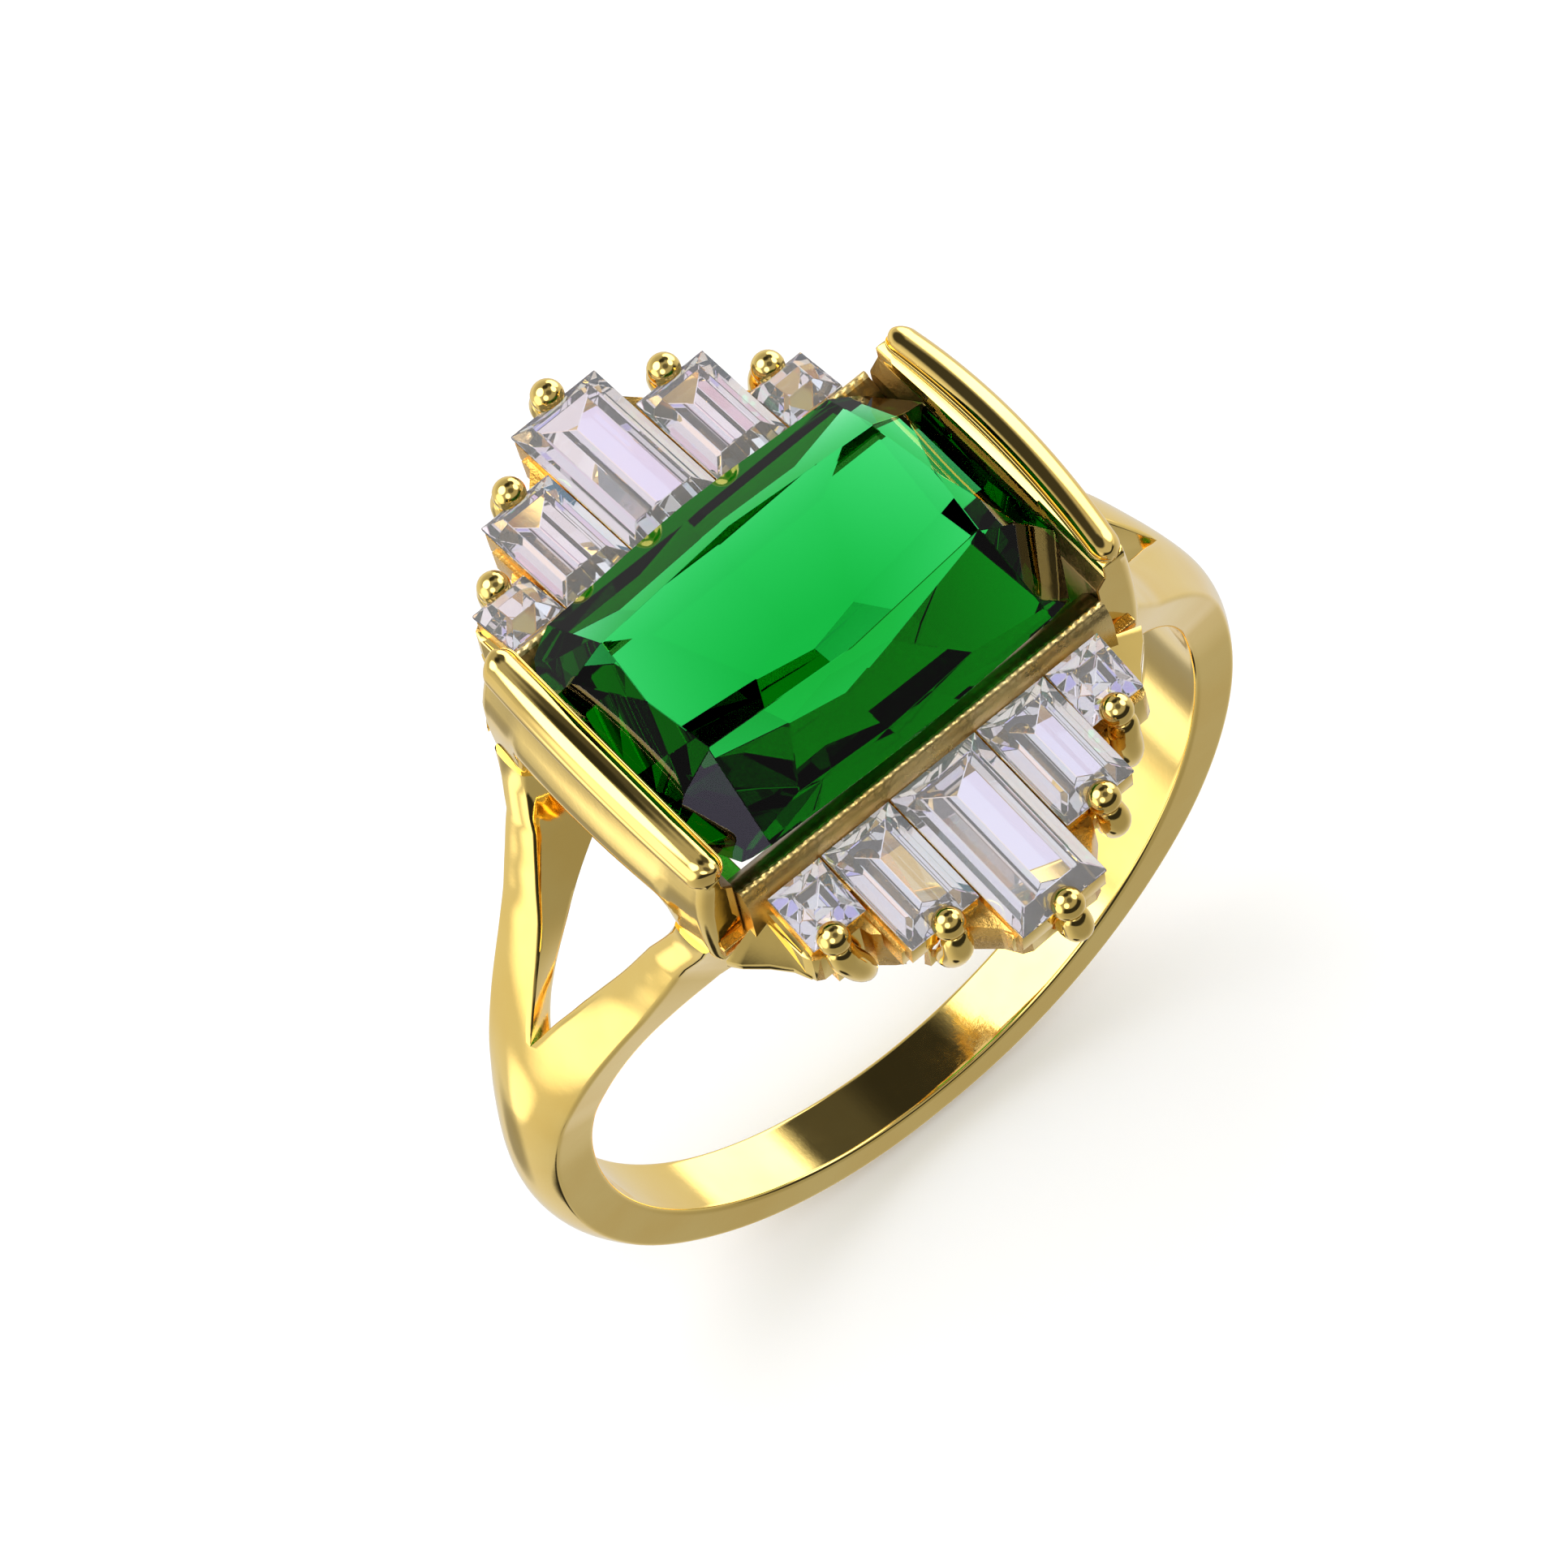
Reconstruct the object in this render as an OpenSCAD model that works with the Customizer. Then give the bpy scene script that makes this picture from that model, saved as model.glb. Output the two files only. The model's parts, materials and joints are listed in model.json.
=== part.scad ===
// Cocktail ring: split-shoulder band, half-bezel head, one large rectangular stone,
// five tapered-length baguettes with ball-tipped prongs along each long side.
// Millimetres. Origin at the centre of the finger hole, Y along the finger,
// Z up through the large stone, X along the band and along the stone's long side.

/* [Finger] */
// Inside radius of the finger hole
bore_radius = 8.65; // [7.0:0.05:10.5]

/* [Band] */
// Metal from the finger hole to the crown of the band at the bottom
band_thickness = 1.12; // [0.9:0.02:1.6]
// How far the outside circle is raised, which thickens the band towards the shoulders
band_rise = 0.32; // [0:0.02:0.6]
// Half the width of the band at the bottom
band_half_width = 0.86; // [0.7:0.02:1.6]
// How far the crown stands above the band's edges, one millimetre off centre
band_crown = 0.36; // [0:0.02:0.6]
// Height where the split between the two arms starts
split_height = 3.95; // [2:0.05:6]
// Spread of each arm from the centre line for each millimetre of height
split_slope = 0.49; // [0.3:0.01:0.7]
// Height where the arms end inside the head
arm_top = 9.2; // [8.9:0.05:9.6]

/* [Head] */
// Half the distance between the outer faces of the two end walls, at their ends
wall_outer = 6.12; // [5.8:0.02:7.5]
// Half the distance between the inner faces of the two end walls
wall_inner = 5.2; // [4.8:0.05:6]
// Half the length of each end wall
wall_half_length = 3.85; // [3:0.05:5]
// Height of the top of the end walls, where the bars lie
wall_top = 12.05; // [11:0.05:13]
// Height of the lowest edge of the head
head_bottom = 8.95; // [8.8:0.05:9.4]
// Half the width of the rounded bar on each end wall
bar_half_width = 0.43; // [0.3:0.01:0.6]
// Distance from the centre line to the middle of the left and right bars, at their ends
bar_places = [5.52, 5.86]; // [5.3:0.02:6.1]
// Height of the rounded bar over the wall
bar_height = 0.5; // [0.3:0.05:0.9]
// How far the left and right bars bow outwards in the middle
bar_bows = [0.12, 0.24]; // [0:0.02:0.4]
// How far the walls bow outwards in the middle
end_bow = 0.24; // [0:0.02:0.5]
// How far the bars and the tops of the walls rise in the middle
end_arch = 0.35; // [0:0.05:0.5]
// Height of the upper edge of the two thin side rails
rail_top = 11.15; // [10.5:0.05:11.7]
// Thickness of the side rails
rail_thickness = 0.24; // [0.15:0.01:0.5]
// Spacing of the fine beads cut along each side rail
bead_pitch = 0.24; // [0.15:0.01:0.6]

/* [Large stone] */
// Half length of the large stone
stone_half_length = 5.45; // [4:0.05:7]
// Half width of the large stone
stone_half_width = 3.95; // [3:0.05:4]
// Height of the stone's widest line
girdle_height = 11.72; // [11:0.02:12.2]
// Height from the widest line to the flat top
crown_height = 1.5; // [0.8:0.05:1.8]
// Depth from the widest line to the lowest point
pavilion_depth = 2.72; // [2:0.05:2.9]

/* [Baguettes] */
// Slope of the three middle baguettes, down and away from the large stone, degrees
fan_tilt = 6.5; // [0:0.5:12]
// Extra slope of the two small baguettes at the ends of each row, degrees
small_tilt = 9; // [0:0.5:12]
// Distance from the centre line to the inner ends of the baguettes
fan_start = 4.3; // [4.2:0.05:5]
// Height of the baguettes' widest line at their inner ends
fan_height = 10.72; // [10:0.02:11]

/* [Prongs] */
// Radius of the ball on each prong
ball_radius = 0.385; // [0.2:0.005:0.5]
// Radius of the prong wire
stem_radius = 0.33; // [0.2:0.01:0.5]

/* [Hidden] */
$fn = 96;
far = 30;
crown_radius = bore_radius + band_thickness + band_rise;
// centre, half width, outer end and slope of each baguette, from left to right
seat_x = [-3.98, -2.22, 0, 2.22, 3.98];
seat_half = [0.74, 0.96, 1.20, 0.96, 0.74];
seat_end = [5.85, 7.32, 8.70, 7.32, 5.85];
seat_tilt = [fan_tilt + small_tilt, fan_tilt, fan_tilt, fan_tilt, fan_tilt + small_tilt];
// the prongs are set by hand, so the small stones' prongs differ a little from row to row
front_prong_x = [-4.24, -2.22, 0, 2.22, 3.86];
back_prong_x = [-3.95, -2.22, 0, 2.22, 3.92];
// foot of each prong: sideways lean, distance from the centre line, height
foot_lean = [0.2, -0.1, 0, 0.1, -0.2];
foot_y = [6.10, 7.22, 8.50, 7.22, 6.10];
foot_z = [8.45, 8.72, 9.05, 8.72, 8.45];

// ---- shared shapes ----

// everything beyond a plane: the plane passes through `point`, and its outward normal
// leans `lean` degrees from straight up towards compass direction `turn`
module beyond(point, turn, lean) {
  translate(point) rotate([0, lean, turn]) translate([-far, -far, 0]) cube([2 * far, 2 * far, far]);
}

// the child with everything beyond the first n planes removed, one plane at a time
module cut_by(planes, n) {
  if (n == 0) children();
  else
    difference() {
      cut_by(planes, n - 1) children();
      beyond(planes[n - 1][0], planes[n - 1][1], planes[n - 1][2]);
    }
}

// a plate drawn in the X-Z plane and spread evenly along Y
module along_y(half) {
  rotate([90, 0, 0]) translate([0, 0, -half]) linear_extrude(height = 2 * half) children();
}

// a plate drawn in the Y-Z plane and spread evenly along X
module along_x(half) {
  rotate([90, 0, 90]) translate([0, 0, -half]) linear_extrude(height = 2 * half) children();
}

// ---- band ----

// the crowned ring, thicker towards the shoulders because its outside circle is raised
module crowned_ring() {
  edge = [for (i = [-8 : 8]) [crown_radius - band_crown * pow(i * 0.2, 2), i * 0.2]];
  translate([0, 0, band_rise]) rotate([90, 0, 0])
    rotate_extrude($fn = 180) polygon(concat([[6, -1.6]], edge, [[6, 1.6]]));
}

// the two straight shoulders that leave the circle and rise to the head
module shoulders() {
  along_y(4)
    for (s = [-1, 1])
      polygon([[s * 9.55, 1.5], [s * 9.5, 2.2], [s * 9.1, 3.4], [s * 8.35, 4.8], [s * 7.6, 6.05],
               [s * 6.75, 7.6], [s * 6.3, arm_top], [s * 5.2, arm_top], [s * 5.5, 6], [s * 8, 1.5]]);
}

// outline seen along X: narrow at the bottom, flaring to the corners of the head
function flare(s) = [
  [s * band_half_width, -11], [s * band_half_width, -6], [s * 0.92, -2.5], [s * 1.0, 0],
  [s * 1.08, 1], [s * 1.27, 2.1], [s * 1.54, 3.2], [s * 1.88, 4.3], [s * 2.24, 5.25],
  [s * 2.64, 6.15], [s * 3.08, 7.1], [s * 3.5, 8.1], [s * 3.75, arm_top + 1]
];
module flared_front() {
  right = flare(1);
  left = flare(-1);
  along_x(12) polygon(concat(right, [for (i = [len(left) - 1 : -1 : 0]) left[i]]));
}

// the gap between the two arms of one shoulder, wider and lower on the finger side
module split(s) {
  top = arm_top + 0.4;
  reach = (top - split_height) * split_slope;
  hull() {
    translate([s * 11, 0, 0]) along_x(0.05)
      polygon([[0, split_height], [reach, top], [-reach, top]]);
    translate([s * 5.2, 0, 0]) along_x(0.05)
      polygon([[0, split_height - 2.1], [1.1, 4.6], [1.9, top], [-1.9, top], [-1.1, 4.6]]);
  }
}

module shank() {
  color([0.93, 0.76, 0.36])
    difference() {
      intersection() {
        union() {
          crowned_ring();
          shoulders();
        }
        flared_front();
      }
      rotate([90, 0, 0]) cylinder(r = bore_radius, h = 20, center = true);
      split(-1);
      split(1);
      // the ring is open under the head
      translate([-5.3, -6, 5]) cube([10.6, 12, 6]);
      translate([-far, -far, arm_top]) cube([2 * far, 2 * far, far]);
    }
}

// ---- head ----

// low rectangular frame under the large stone that ties walls, rails and trays together
module gallery_frame() {
  color([0.90, 0.72, 0.33])
    difference() {
      translate([-5.9, -4.0, head_bottom]) cube([11.8, 8.0, 0.5]);
      translate([-4.3, -2.7, head_bottom - 1]) cube([8.6, 5.4, 3]);
      for (s = [-1, 1]) {
        beyond([s * 5.9, 0, head_bottom + 0.2], s > 0 ? 0 : 180, 125);
        beyond([0, s * 4.0, head_bottom + 0.25], s * 90, 130);
      }
    }
}

// plan outline of an end wall, bowed outwards, with the ends rounded
module bowed_plan(inner, outer, half, bow, corner) {
  steps = 12;
  polygon(concat(
    [for (i = [-steps : steps]) let (t = i / steps)
      [outer + bow * (1 - t * t) - corner * pow(abs(t), 14), half * t]],
    [[inner, half], [inner, -half]]));
}

// height of the bars and the tops of the walls over their ends
function arch(y) = end_arch * max(0, 1 - pow(y / wall_half_length, 2));

// everything between two heights over the arched line, as far as `half` to each side
module arched_slab(low, high, half) {
  along_x(7)
    polygon(concat([for (i = [-16 : 16]) [half * i / 16, high + arch(half * i / 16)]],
                   [for (i = [16 : -1 : -16]) [half * i / 16, low + (low > wall_top - 1 ? arch(half * i / 16) : 0)]]));
}

// profile of an end wall seen along Y: an upright plate with a recess under its lower rim
module wall_profile() {
  top = wall_top + end_arch;
  polygon([[wall_inner, head_bottom], [wall_inner, top], [7, top],
           [7, 10.35], [wall_outer - 0.07, 10.15], [wall_outer - 0.12, head_bottom]]);
}

// the four corners of the walls reach down over the arms
module wall_corner(sy) {
  translate([0, sy * (wall_half_length - 0.68), 0])
    along_y(0.68)
      polygon([[wall_inner, head_bottom - 0.15], [wall_inner, 11], [7, 11],
               [7, 9.7], [wall_outer + 0.12, 9.4], [wall_outer - 0.12, head_bottom - 0.15]]);
}

module end_wall(side) {
  mirror([side < 0 ? 1 : 0, 0, 0])
    difference() {
      union() {
        intersection() {
          along_y(wall_half_length) wall_profile();
          translate([0, 0, 8]) linear_extrude(height = 6)
            bowed_plan(wall_inner, wall_outer, wall_half_length, end_bow, 0.35);
          arched_slab(8, wall_top, wall_half_length);
        }
        for (s = [-1, 1])
          intersection() {
            wall_corner(s);
            translate([0, 0, 8]) linear_extrude(height = 6)
              bowed_plan(wall_inner, wall_outer, wall_half_length, end_bow, 0.35);
          }
      }
      // groove that takes the short edge of the large stone
      stone_block(0.03);
      // steps at the four corners, down to the side rails
      for (s = [-1, 1])
        translate([wall_inner - 1, s > 0 ? wall_half_length - 0.22 : -wall_half_length - 1 + 0.22, rail_top + 0.1])
          cube([1.35, 1, 3]);
    }
}

module end_wall_left() color([0.94, 0.78, 0.38]) end_wall(-1);
module end_wall_right() color([0.94, 0.78, 0.38]) end_wall(1);

// rounded bar lying along the top of an end wall, with round ends, a gentle bow and a gentle arch
module bar(side) {
  place = bar_places[side < 0 ? 0 : 1];
  bow = bar_bows[side < 0 ? 0 : 1];
  w = bar_half_width;
  half = 3.42 + w;
  tall = bar_height + end_arch;
  mirror([side < 0 ? 1 : 0, 0, 0])
    difference() {
      intersection() {
        translate([place, 0, wall_top - 0.3]) linear_extrude(height = tall + 0.4) bar_plan(12, w, bow);
        // domed cross-section
        along_y(half + 0.1)
          polygon(concat([[place - w - 0.1, wall_top]],
            [for (i = [0 : 12]) let (a = 180 - i * 15)
              [place + bow / 2 + (w + bow / 2 + 0.01) * cos(a), wall_top + tall * pow(sin(a), 0.6)]],
            [[place + w + bow + 0.1, wall_top]]));
        arched_slab(wall_top, wall_top + bar_height, half);
        // ends rounded over
        along_x(7)
          polygon([for (i = [0 : 24]) let (a = i * 7.5)
            [half * (cos(a) < 0 ? -1 : 1) * pow(abs(cos(a)), 0.28), wall_top - 0.2 + (tall + 0.22) * pow(sin(a), 0.5)]]);
      }
      stone_block(0.03);
    }
}

// plan of a bar with round ends, bowed outwards
module bar_plan(steps, w, bow) {
  polygon(concat(
    [for (i = [-steps : steps]) let (t = i / steps) [w + bow * (1 - t * t), 3.42 * t]],
    [for (i = [1 : 7]) [w * cos(i * 22.5), 3.42 + w * sin(i * 22.5)]],
    [for (i = [steps : -1 : -steps]) let (t = i / steps) [-w + bow * (1 - t * t), 3.42 * t]],
    [for (i = [7 : -1 : 1]) [w * cos(i * 22.5), -3.42 - w * sin(i * 22.5)]]));
}

module bar_left() color([0.95, 0.80, 0.42]) bar(-1);
module bar_right() color([0.95, 0.80, 0.42]) bar(1);

// thin wall along a long side of the stone, with a finely notched upper edge
module side_rail(side) {
  y = side * 4.02;
  count = floor(2 * (wall_inner - 0.1) / bead_pitch);
  difference() {
    translate([-wall_inner - 0.2, side > 0 ? 3.86 : -3.86 - rail_thickness - 0.2, head_bottom + 0.3])
      cube([2 * wall_inner + 0.4, rail_thickness + 0.2, rail_top - head_bottom - 0.3]);
    // the outer face leans in below the edge
    beyond([0, side * (3.86 + rail_thickness + 0.2), rail_top - 0.35], side * 90, 98);
    // notches between the beads
    for (i = [0 : count])
      translate([-count * bead_pitch / 2 + i * bead_pitch, y + side * 0.3, rail_top + 0.02])
        rotate([90, 0, 0]) cylinder(r = 0.07, h = 0.9, center = true, $fn = 6);
    stone_block(0.02);
  }
}
module side_rail_front() color([0.93, 0.77, 0.38]) side_rail(-1);
module side_rail_back() color([0.93, 0.77, 0.38]) side_rail(1);

// places a child at the inner end of one baguette, sloping as the stone does
module at_seat(i) {
  translate([seat_x[i], -fan_start, fan_height]) rotate([seat_tilt[i], 0, 0]) children();
}

// the row of five open-backed cups, with one recess after another taken out
module cups(n) {
  if (n == 0) {
    for (i = [0 : 4]) let (length = seat_end[i] - fan_start, half = seat_half[i])
      at_seat(i) {
        translate([-half + 0.02, -length + 0.06, -0.8]) cube([2 * half - 0.04, length + 0.3, 0.63]);
        // a wider foot set back below, where neighbouring cups run together
        translate([-half - 0.08, -length + 0.3, -1.15]) cube([2 * half + 0.16, length, 0.62]);
      }
    translate([seat_x[0] - seat_half[0] + 0.02, -fan_start - 0.9, fan_height - 1.4])
      cube([2 * (seat_half[0] - seat_x[0]) - 0.04, 1.1, 1.0]);
    tray_base();
  }
  else
    difference() {
      cups(n - 1);
      at_seat(n - 1) let (length = seat_end[n - 1] - fan_start, half = seat_half[n - 1]) {
        translate([0, -length / 2, 0]) baguette_body(half + 0.012, length / 2 + 0.012);
        // open back, so that light reaches the stone
        translate([-half + 0.2, -length + 0.25, -3]) cube([2 * half - 0.4, length - 0.5, 4]);
      }
    }
}

// low base that fills the steps between the cups, arched underneath around the finger
module tray_base() {
  edge = [[4.86, -3.8], [4.86, -5.45], [4.78, -5.7], [4.62, -5.8], [3.5, -5.8], [3.42, -6.1], [2.78, -6.72],
          [2.66, -7.0], [1.94, -7.0], [1.86, -7.35], [1.32, -7.95], [1.12, -8.34], [0.9, -8.46]];
  left = [for (p = edge) [-p[0], p[1]]];
  difference() {
    translate([0, 0, head_bottom - 0.5]) linear_extrude(height = 1.4)
      polygon(concat(edge, [for (i = [len(left) - 1 : -1 : 0]) left[i]]));
    rotate([90, 0, 0]) cylinder(r = bore_radius + 0.37, h = 20, center = true, $fn = 120);
    // the base steps up at the corners of the head
    for (s = [-1, 1])
      translate([s > 0 ? 4.3 : -6.3, -7, 8]) cube([2, 4, head_bottom - 8]);
  }
}

// skirt from the corner of the head to the first seat
module skirt(sx) {
  difference() {
    translate([0, 0, head_bottom])
      linear_extrude(height = 1.45)
        polygon([[sx * 4.74, -4.06], [sx * 5.95, -4.06], [sx * 5.75, -4.35], [sx * 5.32, -4.78],
                 [sx * 5.0, -5.2], [sx * 4.84, -5.6], [sx * 4.74, -5.6]]);
    beyond([sx * 5.25, -4.75, head_bottom + 0.3], sx > 0 ? -42 : 222, 40);
  }
}

module seat_tray(side) {
  color([0.91, 0.70, 0.28])
    mirror([0, side > 0 ? 1 : 0, 0])
      difference() {
        union() {
          difference() {
            cups(5);
            translate([-far, -4.12, 8]) cube([2 * far, far, 4]);
          }
          skirt(-1);
          skirt(1);
        }
        // grooves for the prongs
        for (i = [0 : 4]) wire(i, side, 0.02);
      }
}
module seat_tray_front() seat_tray(-1);
module seat_tray_back() seat_tray(1);

// ---- stones ----

// the large stone's outline from its widest line up and down, used for the seats round it
module stone_block(gap) {
  translate([-stone_half_length - gap, -stone_half_width - gap, girdle_height - 0.14 - gap])
    cube([2 * (stone_half_length + gap), 2 * (stone_half_width + gap), 0.28 + 2 * gap]);
  difference() {
    translate([-stone_half_length - gap, -stone_half_width - gap, girdle_height - 3])
      cube([2 * (stone_half_length + gap), 2 * (stone_half_width + gap), 4.6]);
    for (a = [0, 180]) {
      beyond([cos(a) * (stone_half_length + gap), 0, girdle_height + 0.14], a, 40);
      beyond([cos(a) * (stone_half_length + gap), 0, girdle_height - 0.14], a, 130);
    }
    for (a = [90, 270]) {
      beyond([0, sin(a) * (stone_half_width + gap), girdle_height + 0.14], a, 36);
      beyond([0, sin(a) * (stone_half_width + gap), girdle_height - 0.14], a, 130);
    }
  }
}

// rectangular stone with cut corners, kite-shaped crown facets and crossed pavilion facets
module centre_stone() {
  l = stone_half_length;
  w = stone_half_width;
  top = girdle_height + crown_height;
  low = girdle_height - pavilion_depth;
  up = girdle_height + 0.1;
  down = girdle_height - 0.1;
  planes = [for (sx = [-1, 1], sy = [-1, 1]) let (c = sx > 0 ? 0 : 180, k = sx * sy) each [
    // cut corners
    [[sx * (l - 0.42), sy * (w - 0.42), girdle_height], c + k * 45, 90],
    [[sx * (l - 0.13), sy * (w - 0.7), girdle_height], c + k * 22, 90],
    [[sx * (l - 0.7), sy * (w - 0.13), girdle_height], c + k * 68, 90],
    // crown: three facets on each short side, two on each long side, and one at each corner
    [[sx * 4.1, 0, top], c + k * 7.6, 39.1],
    [[sx * 4.1, 0, top], c, 47.8],
    [[0, sy * 2.1, top], c + k * 85.6, 38.6],
    [[sx * 4.22, sy * 2.27, top - 0.6], c + k * 45, 46.7],
    // narrow steeper row just above the widest line
    [[sx * l, 0, up], c, 60],
    [[0, sy * w, up], c + k * 90, 56],
    // pavilion: steep upper row, then crossed facets running to the keel
    [[sx * l, 0, down], c + k * 3, 128],
    [[0, sy * w, down], c + k * 88, 127],
    [[sx * (l - 0.4), sy * (w - 0.4), down], c + k * 45, 130],
    [[sx * 4.6, sy * 0.4, down - 1.0], c + k * 14, 140],
    [[sx * 1.0, sy * (w - 0.8), down - 0.95], c + k * 84, 139],
    [[sx * 1.4, 0, low], c + k * 30, 155],
    [[sx * 0.6, sy * 0.2, low], c + k * 78, 158]
  ]];
  color([0.02, 0.55, 0.20])
    cut_by(planes, len(planes))
      translate([-l, -w, low]) cube([2 * l, 2 * w, top - low]);
}

// step-cut baguette, widest line at height 0, centred: two steps over and under it, meeting
// in a keel along the middle
module baguette_body(hx, hy) {
  deep = 0.92;
  ledge = 0.55;
  steep = atan((deep - 0.06) / hx) + 8;
  at = 0.06 + (1 - ledge) * hx * tan(steep);
  flat = atan((deep - at) / (ledge * hx));
  planes = [for (q = [0 : 3]) let (a = q * 90, along = q % 2 == 1, h = along ? hy : hx, d = [cos(a), sin(a), 0]) each [
    [d * h + [0, 0, 0.06], a, 58],
    [d * (h - 0.16) + [0, 0, 0.16], a, 40],
    [d * h - [0, 0, 0.06], a, along ? 125 : 180 - steep],
    along ? [d * (h - 0.3) - [0, 0, 0.49], a, 140] : [[0, 0, -deep], a, 180 - flat]
  ]];
  cut_by(planes, len(planes))
    translate([-hx, -hy, -deep]) cube([2 * hx, 2 * hy, deep + 0.36]);
}

module baguette(i, side) {
  length = seat_end[i] - fan_start;
  color([0.86, 0.88, 0.92])
    mirror([0, side > 0 ? 1 : 0, 0])
      at_seat(i) translate([0, -length / 2, 0]) baguette_body(seat_half[i], length / 2);
}

// ---- prongs ----

// centre of the ball at the end of one prong
function ball_at(i, side) = let (reach = seat_end[i] - fan_start + 0.14)
  [side < 0 ? front_prong_x[i] : back_prong_x[i], -fan_start - reach * cos(seat_tilt[i]),
   fan_height + 0.2 - reach * sin(seat_tilt[i])];

// the bent wire of one prong, made thicker all round by `grow`
module wire(i, side, grow) {
  ball = ball_at(i, side);
  knee = [ball[0] + foot_lean[i] * 0.3, ball[1] - 0.16, ball[2] - 0.75];
  foot = [seat_x[i] + foot_lean[i], -foot_y[i], foot_z[i] + stem_radius];
  rod(ball, knee, stem_radius * 0.86 + grow);
  translate(knee) sphere(r = stem_radius * 1.04 + grow, $fn = 40);
  rod(knee, foot, stem_radius + grow);
  translate(foot) sphere(r = stem_radius * 1.04 + grow, $fn = 40);
}

// a wire that rises from under the tray, bends over the seat and ends in a ball
module prong(i, side) {
  length = seat_end[i] - fan_start;
  color([0.94, 0.77, 0.36])
    mirror([0, side > 0 ? 1 : 0, 0])
      difference() {
        union() {
          translate(ball_at(i, side)) sphere(r = ball_radius, $fn = 48);
          wire(i, side, 0);
        }
        // the wire is filed flat where it lies against the stone
        at_seat(i) translate([-2, -length - 0.004, -1.2]) cube([4, 2, 1.3]);
      }
}
module rod(a, b, r) {
  d = b - a;
  run = norm(d);
  translate(a) rotate([0, acos(d[2] / run), atan2(d[1], d[0])]) cylinder(r = r, h = run, $fn = 40);
}

// ---- one line for each separate piece ----

shank();
gallery_frame();
end_wall_left();
end_wall_right();
bar_left();
bar_right();
side_rail_front();
side_rail_back();
seat_tray_front();
seat_tray_back();
centre_stone();
baguette(0, -1);  // baguette_front_1
baguette(1, -1);  // baguette_front_2
baguette(2, -1);  // baguette_front_3
baguette(3, -1);  // baguette_front_4
baguette(4, -1);  // baguette_front_5
baguette(0, 1);  // baguette_back_1
baguette(1, 1);  // baguette_back_2
baguette(2, 1);  // baguette_back_3
baguette(3, 1);  // baguette_back_4
baguette(4, 1);  // baguette_back_5
prong(0, -1);  // prong_front_1
prong(1, -1);  // prong_front_2
prong(2, -1);  // prong_front_3
prong(3, -1);  // prong_front_4
prong(4, -1);  // prong_front_5
prong(0, 1);  // prong_back_1
prong(1, 1);  // prong_back_2
prong(2, 1);  // prong_back_3
prong(3, 1);  // prong_back_4
prong(4, 1);  // prong_back_5
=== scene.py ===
"""Cocktail ring in yellow gold: split-shoulder band, half-bezel head, one large green stone and ten clear baguettes."""
import json
import math

import bmesh
import bpy
from mathutils import Matrix, Vector

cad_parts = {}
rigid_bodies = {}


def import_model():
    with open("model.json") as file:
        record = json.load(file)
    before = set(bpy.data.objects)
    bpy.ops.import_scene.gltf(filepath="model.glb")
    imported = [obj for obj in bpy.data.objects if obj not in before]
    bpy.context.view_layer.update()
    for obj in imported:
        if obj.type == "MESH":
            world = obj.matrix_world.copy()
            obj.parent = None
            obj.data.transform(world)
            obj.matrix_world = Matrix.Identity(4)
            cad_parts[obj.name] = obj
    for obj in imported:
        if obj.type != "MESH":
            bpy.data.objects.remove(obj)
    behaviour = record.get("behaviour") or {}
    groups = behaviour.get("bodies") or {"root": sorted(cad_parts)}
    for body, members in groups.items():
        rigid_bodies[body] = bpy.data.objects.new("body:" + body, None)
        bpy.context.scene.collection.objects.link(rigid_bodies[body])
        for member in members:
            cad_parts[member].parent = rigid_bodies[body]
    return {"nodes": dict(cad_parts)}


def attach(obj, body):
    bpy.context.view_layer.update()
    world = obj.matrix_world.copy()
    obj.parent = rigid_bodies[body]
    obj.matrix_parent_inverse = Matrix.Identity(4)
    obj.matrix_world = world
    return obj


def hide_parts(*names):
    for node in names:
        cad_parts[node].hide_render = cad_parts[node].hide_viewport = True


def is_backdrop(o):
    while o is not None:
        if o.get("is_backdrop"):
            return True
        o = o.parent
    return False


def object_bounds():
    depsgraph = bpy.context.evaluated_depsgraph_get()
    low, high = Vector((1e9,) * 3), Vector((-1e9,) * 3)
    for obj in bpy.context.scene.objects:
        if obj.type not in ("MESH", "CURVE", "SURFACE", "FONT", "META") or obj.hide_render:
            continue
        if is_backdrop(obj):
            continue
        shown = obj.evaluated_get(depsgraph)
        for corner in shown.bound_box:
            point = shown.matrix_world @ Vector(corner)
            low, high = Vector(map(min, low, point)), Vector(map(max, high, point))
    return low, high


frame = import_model()
cad_low, cad_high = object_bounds()
MM = 0.001
NODES = frame["nodes"]

# ---------------------------------------------------------------- camera

AZIMUTH, ELEVATION, ROLL = math.radians(-27.533), math.radians(60.06), math.radians(-14.624)
TARGET, DISTANCE, LENS = Vector((-1.374, 0.0, 6.079)) * MM, 1.15364, 1216.56


def make_camera():
    away = Vector((math.sin(AZIMUTH) * math.cos(ELEVATION), -math.cos(AZIMUTH) * math.cos(ELEVATION), math.sin(ELEVATION)))
    right = (-away).cross(Vector((0, 0, 1))).normalized()
    up = right.cross(-away)
    x = math.cos(ROLL) * right + math.sin(ROLL) * up
    y = -math.sin(ROLL) * right + math.cos(ROLL) * up
    place = TARGET + away * DISTANCE
    cam = bpy.data.objects.new("camera", bpy.data.cameras.new("camera"))
    cam.data.lens = LENS
    cam.data.sensor_width = 36
    cam.data.clip_start, cam.data.clip_end = 0.05, 20
    cam.matrix_world = Matrix(
        [[x[i], y[i], away[i], place[i]] for i in range(3)] + [[0, 0, 0, 1]]
    )
    bpy.context.scene.collection.objects.link(cam)
    bpy.context.scene.camera = cam


make_camera()

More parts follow.
